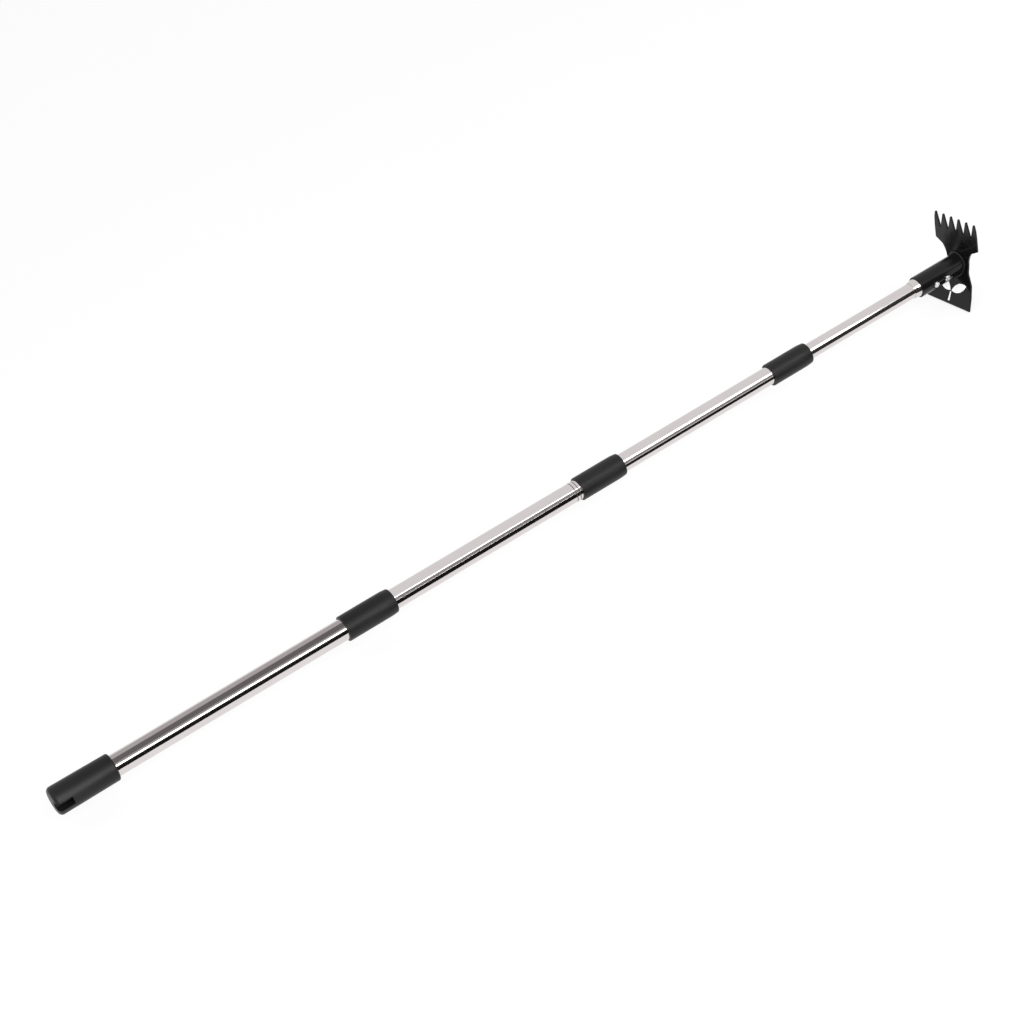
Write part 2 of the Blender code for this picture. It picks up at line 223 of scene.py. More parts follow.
def pick(obj, wanted):
    """Selects the vertices, and the edges and faces between them, whose place passes the test."""
    bpy.ops.mesh.select_all(action="DESELECT")
    shape = bmesh.from_edit_mesh(obj.data)
    for vert in shape.verts:
        if wanted(vert.co):
            vert.select_set(True)
    shape.select_flush_mode()
    bmesh.update_edit_mesh(obj.data)


def turn_selection(amount, axis, centre):
    """Turns the selection right-handed about an axis. With no window the operator turns the other way."""
    bpy.ops.transform.rotate(value=-amount, orient_axis=axis, center_override=centre)


def place_in_mesh(obj, matrix=None):
    """Moves the object's place into its mesh, so that its origin is the frame's."""
    make_active(obj)
    if matrix is not None:
        obj.matrix_world = matrix @ obj.matrix_world
    bpy.ops.object.transform_apply(location=True, rotation=True, scale=True)


def apply_modifier(obj, kind, **settings):
    make_active(obj)
    modifier = obj.modifiers.new(kind.title(), kind)
    for name, value in settings.items():
        setattr(modifier, name, value)
    bpy.ops.object.modifier_apply(modifier=modifier.name)


def break_edges(obj, width, segments=2, above=35.0):
    """Rounds every edge sharper than so many degrees."""
    apply_modifier(
        obj, "BEVEL", width=width, segments=segments, limit_method="ANGLE", angle_limit=math.radians(above)
    )


def cut_away(obj, tool, operation="DIFFERENCE"):
    """Cuts one solid with another and clears the tool away."""
    apply_modifier(obj, "BOOLEAN", object=tool, operation=operation, solver="EXACT")
    bpy.data.objects.remove(tool)


def close_up(obj):
    """Merges doubled vertices and turns every face outwards."""
    edit(obj)
    bpy.ops.mesh.remove_doubles(threshold=0.001 * MM)
    bpy.ops.mesh.normals_make_consistent(inside=False)
    bpy.ops.object.mode_set(mode="OBJECT")


def block(low, high):
    """A box between two corners."""
    middle = [(a + b) / 2 for a, b in zip(low, high)]
    bpy.ops.mesh.primitive_cube_add(size=1.0, location=middle)
    obj = bpy.context.object
    edit(obj)
    bpy.ops.transform.resize(value=[b - a for a, b in zip(low, high)], center_override=middle)
    place_in_mesh(obj)
    return obj


def turned(stations):
    """A round piece on the pole's middle line, drawn out ring by ring through (x, radius) stations."""
    (x, radius) = stations[0]
    deselect_all()
    bpy.ops.mesh.primitive_circle_add(
        vertices=ROUND_SIDES, radius=radius, location=(x, 0, 0), rotation=(0, math.pi / 2, 0)
    )
    obj = bpy.context.object
    edit(obj)
    for next_x, next_radius in stations[1:]:
        bpy.ops.mesh.extrude_region_move(TRANSFORM_OT_translate={"value": (next_x - x, 0, 0)})
        share = next_radius / radius
        bpy.ops.transform.resize(value=(1, share, share), center_override=(next_x, 0, 0))
        x, radius = next_x, next_radius
    place_in_mesh(obj)
    return obj


def fill_ring(obj, x, radius):
    """Fills the open ring of that radius at x with one flat face."""
    edit(obj)
    pick(obj, lambda co: abs(co.x - x) < NEAR and abs(math.hypot(co.y, co.z) - radius) < NEAR)
    bpy.ops.mesh.edge_face_add()
    bpy.ops.object.mode_set(mode="OBJECT")


def quarter_round(x, radius, rounding, steps, towards):
    """Stations of a rounded rim, from the side of the piece to its end face at x."""
    stations = []
    for step in range(steps + 1):
        turn = math.pi / 2 * step / steps
        back = rounding * (1 - math.sin(turn))
        stations.append((x - towards * back, radius - rounding * (1 - math.cos(turn))))
    return stations


def finish_piece(obj, name, material, body, slot, *nodes, smooth=30.0):
    close_up(obj)
    make_active(obj)
    bpy.ops.object.shade_smooth_by_angle(angle=math.radians(smooth))
    # The small rounded edges would otherwise tilt the normals along the whole length of a tube.
    apply_modifier(obj, "WEIGHTED_NORMAL", keep_sharp=True)
    obj.name = obj.data.name = name
    obj.data.materials.clear()
    obj.data.materials.append(material)
    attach(obj, body)
    if nodes:
        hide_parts(*nodes)
    deselect_all()
    return obj


# Materials


def new_material(name, shade, metallic, roughness):
    """A material and its main shader, which holds every value that is the same all over."""
    material = bpy.data.materials.new(name)
    material.use_nodes = True
    shader = material.node_tree.nodes["Principled BSDF"]
    shader.inputs["Base Color"].default_value = (*shade, 1.0)
    shader.inputs["Metallic"].default_value = metallic
    shader.inputs["Roughness"].default_value = roughness
    return material, shader


def add_node(material, kind, settings=None, values=None, links=None):
    """Adds a node with its settings, its socket values and its links from other nodes' outputs."""
    tree = material.node_tree
    node = tree.nodes.new(kind)
    for name, value in (settings or {}).items():
        setattr(node, name, value)
    for name, value in (values or {}).items():
        node.inputs[name].default_value = value
    for name, output in (links or {}).items():
        tree.links.new(output, node.inputs[name])
    return node


def scaled_shade(shade, share):
    return [c * share for c in shade]


def lay_pattern(
    material, shader, size_mm, detail=2.0, shades=None, roughness=None, depth_mm=None, strength=0.25
):
    """Lays one noise pattern, with lumps of that many millimetres in X, Y and Z.

    It varies the colour between two shades, varies the roughness between two values, or raises the surface.
    """
    place = add_node(material, "ShaderNodeTexCoord")
    scale = [1 / (size * MM) for size in size_mm]
    links = {"Vector": place.outputs["Object"]}
    scaled = add_node(material, "ShaderNodeMapping", values={"Scale": scale}, links=links)
    values = {"Scale": 1.0, "Detail": detail, "Roughness": 0.55}
    links = {"Vector": scaled.outputs["Vector"]}
    fac = add_node(material, "ShaderNodeTexNoise", values=values, links=links).outputs["Fac"]
    found = {}
    if shades:
        first, second = [(*shade, 1.0) for shade in shades]
        mix = add_node(material, "ShaderNodeMix", {"data_type": "RGBA"}, {6: first, 7: second}, {0: fac})
        found["Base Color"] = mix.outputs[2]
    if roughness:
        values = {"From Min": 0.3, "From Max": 0.7, "To Min": roughness[0], "To Max": roughness[1]}
        mapped = add_node(material, "ShaderNodeMapRange", values=values, links={"Value": fac})
        found["Roughness"] = mapped.outputs["Result"]
    if depth_mm:
        values = {"Distance": depth_mm * MM, "Strength": strength}
        raised = add_node(material, "ShaderNodeBump", values=values, links={"Height": fac})
        found["Normal"] = raised.outputs["Normal"]
    for socket, output in found.items():
        material.node_tree.links.new(output, shader.inputs[socket])


def polished_stainless():
    """Drawn and polished 304 stainless tube: mirror-like, slightly warm, with faint lengthwise lines."""
    shade = bpy.context.scene.hoe_rake_finishes.steel
    material, shader = new_material("polished_stainless_steel", shade, 1.0, 0.08)
    lay_pattern(material, shader, (40.0, 9.0, 9.0), 1.0, shades=(shade, linear("#D8D0D1")))
    # Drawing lines are hundredths of a millimetre apart. They are made 0.5 mm apart so that they show.
    span = (0.05, 0.10)
    lay_pattern(material, shader, (60.0, 0.5, 0.5), 3.0, roughness=span, depth_mm=0.002, strength=0.05)
    return material


def groove_painted_shade():
    """A groove rolled into stainless tube. It is rougher than the polished tube, and its grey is painted
    shade that stands in for the dark reflection in the groove.
    """
    # The dark grey is painted shade, not a colour of the steel.
    shade = linear("#6B6463")
    material, shader = new_material("steel_darkened_by_painted_shade", shade, 1.0, 0.45)
    shades = (shade, scaled_shade(shade, 0.7))
    lay_pattern(material, shader, (1.0, 1.0, 1.0), shades=shades, roughness=(0.38, 0.55), depth_mm=0.01)
    return material


def moulded_polypropylene(name, shade, roughness):
    """Injection-moulded polypropylene off a spark-eroded tool: deep black, dull, with a fine even grain."""
    material, shader = new_material(name, shade, 0.0, roughness)
    shader.inputs["Specular IOR Level"].default_value = 0.24
    shades = (scaled_shade(shade, 0.75), scaled_shade(shade, 1.3))
    lay_pattern(material, shader, (30.0, 7.0, 7.0), shades=shades)
    # A spark-eroded grain is about 0.1 mm. It is drawn at 0.5 mm so that it shows.
    span = (roughness - 0.06, roughness + 0.08)
    lay_pattern(material, shader, (0.5, 0.5, 0.5), 3.0, roughness=span, depth_mm=0.05, strength=0.35)
    return material


def black_enamel(name="stoved_black_enamel", lump_mm=3.0, depth_mm=0.02):
    """Stoved black enamel on steel: deep gloss with a slight orange peel and a faint haze."""
    shade = bpy.context.scene.hoe_rake_finishes.enamel
    material, shader = new_material(name, shade, 0.0, 0.12)
    shader.inputs["Specular IOR Level"].default_value = 0.25
    shades = (scaled_shade(shade, 0.8), scaled_shade(shade, 1.4))
    lay_pattern(material, shader, (14.0, 14.0, 14.0), 3.0, shades=shades, roughness=(0.08, 0.16))
    lay_pattern(material, shader, (lump_mm,) * 3, depth_mm=depth_mm)
    return material


def zinc_plated_steel():
    """Bright zinc plating on turned steel: cool silver with a faint cloudy bloom."""
    shade = bpy.context.scene.hoe_rake_finishes.zinc
    material, shader = new_material("bright_zinc_plate", shade, 1.0, 0.28)
    shades = (shade, scaled_shade(shade, 0.88))
    lay_pattern(material, shader, (2.0, 2.0, 2.0), 3.0, shades, (0.22, 0.36), 0.01, 0.3)
    return material


def machined_brass():
    """Turned free-cutting brass: yellow, satin, with tool lines round it."""
    shade = bpy.context.scene.hoe_rake_finishes.brass
    material, shader = new_material("turned_brass", shade, 1.0, 0.3)
    shades = (shade, scaled_shade(shade, 0.8))
    lay_pattern(material, shader, (0.4, 8.0, 8.0), 2.0, shades, (0.22, 0.4), 0.01, 0.3)
    return material


def natural_nylon():
    """Moulded natural nylon 6: milky off-white, waxy, slightly see-through."""
    shade = bpy.context.scene.hoe_rake_finishes.nylon
    material, shader = new_material("moulded_natural_nylon", shade, 0.0, 0.45)
    shader.inputs["Subsurface Weight"].default_value = 0.2
    shader.inputs["Subsurface Scale"].default_value = 1.0 * MM
    shades = (shade, scaled_shade(shade, 0.88))
    lay_pattern(material, shader, (5.0, 5.0, 5.0), 3.0, shades, (0.38, 0.52), 0.02, 0.2)
    return material


def screen_print():
    """White screen-printing ink, baked: flat and chalky with slightly uneven cover."""
    shade = bpy.context.scene.hoe_rake_finishes.print_white
    material, shader = new_material("screen_print_ink", shade, 0.0, 0.6)
    shades = (shade, scaled_shade(shade, 0.96))
    lay_pattern(material, shader, (1.2, 1.2, 1.2), 3.0, shades, (0.52, 0.68), 0.01, 0.2)
    return material


# How much of the room's light the lit table sends back, beside its own glow.
TABLE_COVER = 0.25


def studio_floor():
    """White acrylic table lit from below: even and matt, and it swallows most of a shadow."""
    shade = bpy.context.scene.hoe_rake_finishes.floor
    material, shader = new_material("lit_acrylic_table", scaled_shade(shade, TABLE_COVER), 0.0, 0.9)
    shader.inputs["Specular IOR Level"].default_value = 0.0
    shader.inputs["Emission Color"].default_value = (*shade, 1.0)
    shader.inputs["Emission Strength"].default_value = bpy.context.scene.hoe_rake_studio.table
    cover = scaled_shade(shade, TABLE_COVER)
    lay_pattern(material, shader, (300.0, 300.0, 300.0), shades=(cover, scaled_shade(cover, 0.98)))
    return material


def material_for(name, make, *settings):
    """The material of that name, made the first time it is asked for."""
    return bpy.data.materials.get(name) or make(*settings)


def steel():
    return material_for("polished_stainless_steel", polished_stainless)


def enamel():
    return material_for("stoved_black_enamel", black_enamel)


def grip_plastic():
    shade = bpy.context.scene.hoe_rake_finishes.plastic
    return material_for("moulded_polypropylene", moulded_polypropylene, "moulded_polypropylene", shade, 0.40)


def zinc():
    return material_for("bright_zinc_plate", zinc_plated_steel)


# Operators


class EndGrip(bpy.types.Operator):
    """Rounded plastic cap over the free end, with a notch to hang it by"""

    bl_idname = "hoe_rake.end_grip"
    bl_label = "End Grip"

    def execute(self, context):
        pole, _ = sizes()
        low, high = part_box("end_grip")
        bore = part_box("tube_1")[1].y + FIT_GAP
        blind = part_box("tube_1")[0].x - END_GAP
        front, end_radius = high.x, high.y
        rim = quarter_round(front, pole.grip_front, 2.2 * MM, 6, 1)
        free_end = quarter_round(low.x, end_radius, pole.grip_rounding, 10, -1)
        obj = turned([(blind, bore), (front, bore), *reversed(rim), *free_end])
        fill_ring(obj, blind, bore)
        fill_ring(obj, *free_end[-1])
        close_up(obj)
        half = pole.notch_width / 2
        tool = block(
            (-2 * MM, -end_radius - 3 * MM, -half),
            (pole.notch_length, -pole.notch_floor, half),
        )
        break_edges(tool, 0.8 * MM, 3)
        cut_away(obj, tool)
        break_edges(obj, 0.3 * MM, 2, 50.0)
        finish_piece(obj, "moulded_grip", grip_plastic(), "handle", "grip_plastic", "end_grip")
        return {"FINISHED"}


class Tubes(bpy.types.Operator):
    """The four polished tubes, the second with two rolled mark lines"""

    bl_idname = "hoe_rake.tubes"
    bl_label = "Tubes"

    def execute(self, context):
        pole, _ = sizes()
        for number in TUBES:
            node = "tube_%d" % number
            low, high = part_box(node)
            outer, inner = high.y, high.y - pole.wall
            stations = [(high.x, inner), (high.x, outer)]
            if number == 2:
                for place in (pole.ring_at + pole.ring_gap, pole.ring_at):
                    stations += self.mark_line(pole, place, outer)
            stations += [(low.x, outer), (low.x, inner), (high.x, inner)]
            obj = turned(stations)
            close_up(obj)
            break_edges(obj, 0.08 * MM, 2, 60.0)
            finish_piece(obj, "polished_" + node, steel(), BODY_OF_TUBE[number], "pole_steel", node)
            if number == 2:
                # The grooves' faces get steel darkened by painted shade.
                self.paint_shade_in_grooves(obj, pole)
        return {"FINISHED"}

    def paint_shade_in_grooves(self, obj, pole):
        """Gives the faces of the two grooves a steel darkened by painted shade."""
        obj.data.materials.append(groove_painted_shade())
        for face in obj.data.polygons:
            off = min(abs(face.center.x - pole.ring_at), abs(face.center.x - pole.ring_at - pole.ring_gap))
            if off < pole.ring_width / 2:
                face.material_index = 1

    def mark_line(self, pole, place, outer):
        """A round-bottomed groove, from the head's side to the grip's."""
        half = pole.ring_width / 2
        stations = []
        for step in range(9):
            turn = math.pi * step / 8
            stations.append((place + half * math.cos(turn), outer - pole.ring_depth * math.sin(turn)))
        return stations


class Collars(bpy.types.Operator):
    """Plastic collars: square at the back, tapered and rounded at the front"""

    bl_idname = "hoe_rake.collars"
    bl_label = "Collars"

    def execute(self, context):
        pole, _ = sizes()
        for number in (1, 2, 3):
            node = "collar_%d" % number
            low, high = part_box(node)
            outer = high.y
            own_tube, next_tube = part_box("tube_%d" % number)[1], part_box("tube_%d" % (number + 1))[1]
            back_bore, front_bore = own_tube.y + FIT_GAP, next_tube.y + FIT_GAP
            stop = own_tube.x + END_GAP
            taper_at = high.x - pole.collar_taper_length
            rim = quarter_round(high.x, outer - pole.collar_taper, 1.2 * MM, 5, 1)
            shoulder = [(taper_at, outer - 0.12 * MM), (taper_at - 6 * MM, outer)]
            stations = [(high.x, front_bore), *reversed(rim), *shoulder]
            if number == 3:
                stations += self.parting_ring((low.x + high.x) / 2, outer)
            stations += [(low.x + pole.collar_lip, outer), (low.x, outer - pole.collar_lip)]
            stations += [(low.x, back_bore), (stop, back_bore), (stop, front_bore), (high.x, front_bore)]
            obj = turned(stations)
            close_up(obj)
            break_edges(obj, 0.2 * MM, 2, 40.0)
            finish_piece(obj, "moulded_" + node, grip_plastic(), BODY_OF_TUBE[number], "collar_plastic", node)
        return {"FINISHED"}

    def parting_ring(self, middle, outer):
        """The faint ring that the mould's parting line leaves."""
        return [(middle + 0.5 * MM, outer), (middle, outer - 0.12 * MM), (middle - 0.5 * MM, outer)]


class TwistLocks(bpy.types.Operator):
    """Finishes for the hidden twist locks, which keep their frame shapes"""

    bl_idname = "hoe_rake.twist_locks"
    bl_label = "Twist Locks"

    def execute(self, context):
        shade = context.scene.hoe_rake_finishes.lock_plastic
        acetal = moulded_polypropylene("moulded_acetal", shade, 0.4)
        finish_of = {
            "lock_plug": acetal,
            "lock_stud": zinc(),
            "lock_cap": zinc(),
            "expander": natural_nylon(),
            "wedge_nut": machined_brass(),
        }
        for piece, material in finish_of.items():
            for number in (2, 3, 4):
                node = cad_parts["%s_%d" % (piece, number)]
                for slot in node.material_slots:
                    slot.material = material
        return {"FINISHED"}


# Half widths of the blade at heights below the bend, in millimetres: straight cuts between them.
BLADE_CUTS_MM = ((-50.2, 38.0), (-34.4, 35.0), (-20.3, 30.6))
# The neck is one arc on each side, cut with a round tool.
NECK_MIDDLE_MM = (42.56, 1.70)
NECK_RADIUS_MM = 23.67
# Heights of the neck's rows above and below the bend's own creases.
NECK_ABOVE_MM = (19.0, 17.0, 14.5, 12.0, 9.5, 7.5, 5.5)
NECK_BELOW_MM = (-5.5, -7.0, -8.5)
# Heights on an outer tooth's outer edge, and how far in from the rake's side each lies.
OUTER_TOOTH_MM = ((41.0, 0.0), (50.5, 0.6))
BEND_FACETS = 9


def neck_half_width(height):
    """Half width of the neck at a height above the bend."""
    across, up = NECK_MIDDLE_MM[0] * MM, NECK_MIDDLE_MM[1] * MM
    return across - math.sqrt((NECK_RADIUS_MM * MM) ** 2 - (height - up) ** 2)


def bend_rows(head):
    """Heights of the creases above the bend's middle line, lowest first."""
    step = 2 * head.bend_half / BEND_FACETS
    return [step * (i + 0.5) for i in range(BEND_FACETS // 2 + 1)]


def bend_and_place(obj, head):
    """Bends a flat piece about the plate's bend, crease by crease from the outside in, and places it."""
    rows = bend_rows(head)
    half_turn = (head.blade_lean - head.rake_lean) / 2
    crease = half_turn / (len(rows) - 0.5)
    edit(obj)
    for side in (1, -1):
        for row in reversed(rows):
            amount = crease / 2 if row == rows[-1] else crease
            pick(obj, lambda co: side * co.z > row - NEAR)
            turn_selection(-side * amount, "Y", (0, 0, side * row))
    lean = Matrix.Rotation((head.rake_lean + head.blade_lean) / 2, 4, "Y")
    place_in_mesh(obj, Matrix.Translation((head.bend_at, 0, 0)) @ lean)


class HeadPlate(bpy.types.Operator):
    """Rake and hoe blade, cut from one sheet and bent across its neck"""

    bl_idname = "hoe_rake.head_plate"
    bl_label = "Head Plate"

    def execute(self, context):
        _, head = sizes()
        obj = self.blank(head)
        self.draw_teeth(obj, head)
        self.draw_blade(obj, head)
        bend_and_place(obj, head)
        apply_modifier(obj, "SOLIDIFY", thickness=head.thickness, offset=0.0, use_even_offset=True)
        close_up(obj)
        break_edges(obj, head.edge_break, 2, 40.0)
        finish_piece(obj, "enamelled_plate", enamel(), "stage_4", "head_paint", "head_plate", smooth=25.0)
        return {"FINISHED"}

    def blank(self, head):
        """The rake's solid band, scored where the valleys' sides come."""
        low, high = head.shoulder_height, head.valley_height
        deselect_all()
        middle = (0, 0, (low + high) / 2)
        bpy.ops.mesh.primitive_plane_add(size=1.0, location=middle, rotation=(0, math.pi / 2, 0))
        obj = bpy.context.object
        edit(obj)
        bpy.ops.transform.resize(value=(1, 2 * head.rake_half, high - low), center_override=middle)
        place_in_mesh(obj)
        edit(obj)
        for valley in (-2, -1, 0, 1, 2):
            for side in (-0.5, 0.5):
                bpy.ops.mesh.select_all(action="SELECT")
                across = valley * head.tooth_pitch + side * head.valley_width
                bpy.ops.mesh.bisect(plane_co=(0, across, 0), plane_no=(0, 1, 0))
        return obj

    def draw_teeth(self, obj, head):
        """Draws each tooth up from the band, and lets the outer two follow the rake's sides."""
        base = head.valley_height
        edge = head.rake_half
        for number in (-2.5, -1.5, -0.5, 0.5, 1.5, 2.5):
            middle = number * head.tooth_pitch
            inner = middle - (head.tooth_pitch - head.valley_width) / 2
            outer = middle + (head.tooth_pitch - head.valley_width) / 2
            rows = [(middle - head.tooth_tip / 2, middle + head.tooth_tip / 2, head.tooth_height)]
            if number == 2.5:
                outer = edge
                rows = self.outer_rows(inner, rows[0], head)
            if number == -2.5:
                inner = -edge
                mirrored = (-rows[0][1], -rows[0][0], rows[0][2])
                rows = [(-b, -a, z) for a, b, z in self.outer_rows(-outer, mirrored, head)]
            pick(obj, lambda co: abs(co.z - base) < NEAR and inner - NEAR < co.y < outer + NEAR)
            self.draw_rows(inner, outer, base, rows)

    def outer_rows(self, inner, tip, head):
        """Rows of the outer tooth at +Y, whose outer edge stands nearly upright before it comes in."""
        rise = tip[2] - head.valley_height
        rows = []
        for height_mm, inset_mm in OUTER_TOOTH_MM:
            height, outer = height_mm * MM, head.rake_half - inset_mm * MM
            share = (height - head.valley_height) / rise
            rows.append((inner + share * (tip[0] - inner), outer, height))
        return [*rows, tip]

    def draw_rows(self, inner, outer, base, rows):
        """Extrudes the selected edge through rows of (first side, second side, height)."""
        for low_y, high_y, height in rows:
            shift = (low_y + high_y - inner - outer) / 2
            bpy.ops.mesh.extrude_region_move(TRANSFORM_OT_translate={"value": (0, shift, height - base)})
            share = (high_y - low_y) / (outer - inner)
            bpy.ops.transform.resize(value=(1, share, 1), center_override=(0, (low_y + high_y) / 2, height))
            inner, outer, base = low_y, high_y, height

    def draw_blade(self, obj, head):
        """Draws the neck and the flared blade down from the band, row by row."""
        rows = bend_rows(head)
        heights = [height * MM for height in NECK_ABOVE_MM]
        heights += [*reversed(rows), *[-row for row in rows]]
        heights += [height * MM for height in NECK_BELOW_MM]
        outline = [(height, neck_half_width(height)) for height in heights]
        outline += [(height * MM, half * MM) for height, half in reversed(BLADE_CUTS_MM)]
        base, half = head.shoulder_height, head.rake_half
        pick(obj, lambda co: abs(co.z - base) < NEAR)
        for height, next_half in outline:
            bpy.ops.mesh.extrude_region_move(TRANSFORM_OT_translate={"value": (0, 0, height - base)})
            share = next_half / half
            bpy.ops.transform.resize(value=(1, share, 1), center_override=(0, 0, height))
            base, half = height, next_half


LEAF_LONG = 25 * MM
LEAF_WIDE = 10.5 * MM
LEAF_LEAN = math.radians(64)
STEM_TOP = -34.5 * MM
STEM_LENGTH = 12 * MM
STEM_HALF_WIDTH = 1.4 * MM


class SproutMark(bpy.types.Operator):
    """White printed sprout on the side of the blade that faces the grip"""

    bl_idname = "hoe_rake.sprout_mark"
    bl_label = "Sprout Mark"

    def execute(self, context):
        _, head = sizes()
        # The ink stands 0.15 mm proud and starts inside the plate.
        face = -head.thickness / 2
        self.near, self.far = face - 0.15 * MM, face + 0.2 * MM
        pieces = [self.leaf(LEAF_LONG, LEAF_WIDE, side * LEAF_LEAN, STEM_TOP) for side in (1, -1)]
        pieces.append(self.stem(STEM_TOP - 1.0 * MM, STEM_TOP - STEM_LENGTH))
        deselect_all()
        for piece in pieces:
            piece.select_set(True)
        bpy.context.view_layer.objects.active = pieces[0]
        bpy.ops.object.join()
        obj = bpy.context.object
        bend_and_place(obj, head)
        finish_piece(obj, "sprout_mark", screen_print(), "stage_4", "head_paint")
        return {"FINISHED"}

    def leaf(self, long, wide, lean, base):
        """A pointed leaf, left where two round discs overlap."""
        radius = (long * long + wide * wide) / (4 * wide)
        discs = []
        for side in (1, -1):
            deselect_all()
            bpy.ops.mesh.primitive_cylinder_add(
                vertices=256,
                radius=radius,
                depth=self.far - self.near,
                location=((self.near + self.far) / 2, side * (radius - wide / 2), 0),
                rotation=(0, math.pi / 2, 0),
            )
            discs.append(bpy.context.object)
            place_in_mesh(discs[-1])
        cut_away(discs[0], discs[1], "INTERSECT")
        start = 1.2 * MM
        lift = Matrix.Translation((0, 0, long / 2 + start))
        place_in_mesh(discs[0], Matrix.Translation((0, 0, base)) @ Matrix.Rotation(lean, 4, "X") @ lift)
        return discs[0]

    def stem(self, top, bottom):
        """A stem that narrows upwards."""
        obj = block((self.near, -STEM_HALF_WIDTH, bottom), (self.far, STEM_HALF_WIDTH, top))
        edit(obj)
        pick(obj, lambda co: co.z > top - NEAR)
        bpy.ops.transform.resize(value=(1, 0.6, 1), center_override=(0, 0, top))
        bpy.ops.object.mode_set(mode="OBJECT")
        return obj


class Socket(bpy.types.Operator):
    """Socket tube shaped to the bent plate, and the bright sleeve in its mouth"""

    bl_idname = "hoe_rake.socket"
    bl_label = "Socket"

    def execute(self, context):
        _, head = sizes()
        low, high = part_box("socket")
        outer = high.y
        inner = outer - head.socket_wall
        far = head.bend_at + 14 * MM
        rim = quarter_round(low.x, outer, 0.5 * MM, 4, -1)
        obj = turned([(low.x, inner), *reversed(rim), (far, outer), (far, inner), (low.x, inner)])
        close_up(obj)
        for lean in (head.rake_lean, head.blade_lean):
            tool = block((0, -0.05, -0.06), (0.08, 0.05, 0.06))
            # The cut stops just inside the sheet, so that no gap shows at the joint.
            back = Matrix.Translation((-head.thickness / 2 + 0.3 * MM, 0, 0))
            leaned = Matrix.Rotation(lean, 4, "Y") @ back
            place_in_mesh(tool, Matrix.Translation((head.bend_at, 0, 0)) @ leaned)
            cut_away(obj, tool)
        finish_piece(obj, "enamelled_socket", enamel(), "stage_4", "head_paint", "socket")

        low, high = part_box("reducer_sleeve")
        outer = high.y
        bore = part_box("tube_4")[1].y + 0.1 * MM
        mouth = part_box("socket")[0].x
        front = [(low.x, bore + 0.3 * MM), (low.x + 0.4 * MM, bore + 0.55 * MM)]
        taper = [(mouth - 2.5 * MM, outer - 0.35 * MM), (mouth - 0.5 * MM, outer)]
        sleeve = turned([(low.x, bore), *front, *taper, (high.x, outer), (high.x, bore), (low.x, bore)])
        finish_piece(sleeve, "bright_sleeve", steel(), "stage_4", "pole_steel", "reducer_sleeve")
        return {"FINISHED"}


# The weld is laid in this many dabs, and the enamel over it is lumpy.
RIPPLES = 46
RIPPLE_HEIGHT = 0.28 * MM
LUMP_SIZE = 3 * MM
LUMP_HEIGHT = 1.1 * MM
# The bead's middle line stands off the socket's wall and back from the plate's face.
BEAD_OFFSET = 0.5 * MM
BEAD_SETBACK = 0.6 * MM


class WeldBead(bpy.types.Operator):
    """Rippled weld round the socket where it meets the plate"""

    bl_idname = "hoe_rake.weld_bead"
    bl_label = "Weld Bead"

    def execute(self, context):
        _, head = sizes()
        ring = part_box("socket")[1].y + BEAD_OFFSET
        deselect_all()
        bpy.ops.mesh.primitive_torus_add(
            major_radius=ring,
            minor_radius=head.bead_radius,
            major_segments=RIPPLES * 4,
            minor_segments=14,
            rotation=(0, math.pi / 2, 0),
        )
        obj = bpy.context.object
        place_in_mesh(obj)
        edit(obj)
        pick(obj, lambda co: (math.atan2(co.z, co.y) / (2 * math.pi) * RIPPLES + 0.125) % 1 < 0.5)
        bpy.ops.transform.shrink_fatten(value=RIPPLE_HEIGHT)
        for side, lean in ((1, head.rake_lean), (-1, head.blade_lean)):
            pick(obj, lambda co: side * co.z > NEAR)
            turn_selection(lean, "Y", (0, 0, 0))
            # Turning shortens the half ring's height, and it has to stay round about the socket.
            bpy.ops.transform.resize(value=(1, 1, 1 / math.cos(lean)), center_override=(0, 0, 0))
        back = head.thickness / 2 + BEAD_SETBACK
        place_in_mesh(obj, Matrix.Translation((head.bend_at - back, 0, 0)))
        lumps = bpy.data.textures.new("weld_lumps", "CLOUDS")
        lumps.noise_scale = LUMP_SIZE
        settings = {"texture": lumps, "texture_coords": "LOCAL", "mid_level": 0.5, "strength": LUMP_HEIGHT}
        apply_modifier(obj, "DISPLACE", **settings)
        rough = black_enamel("enamel_over_weld", 0.9, 0.08)
        finish_piece(obj, "rippled_weld", rough, "stage_4", "head_paint", "weld_bead", smooth=60.0)
        return {"FINISHED"}


HEAD_HEIGHT = 2.3 * MM
HEAD_ROUNDING = 0.8 * MM
SHANK_RADIUS = 1.7 * MM
SHANK_LENGTH = 6.6 * MM
RECESS_DEPTH = 1.1 * MM
RECESS_HALF_WIDTH = 0.55 * MM
RECESS_REACH = 1.8 * MM


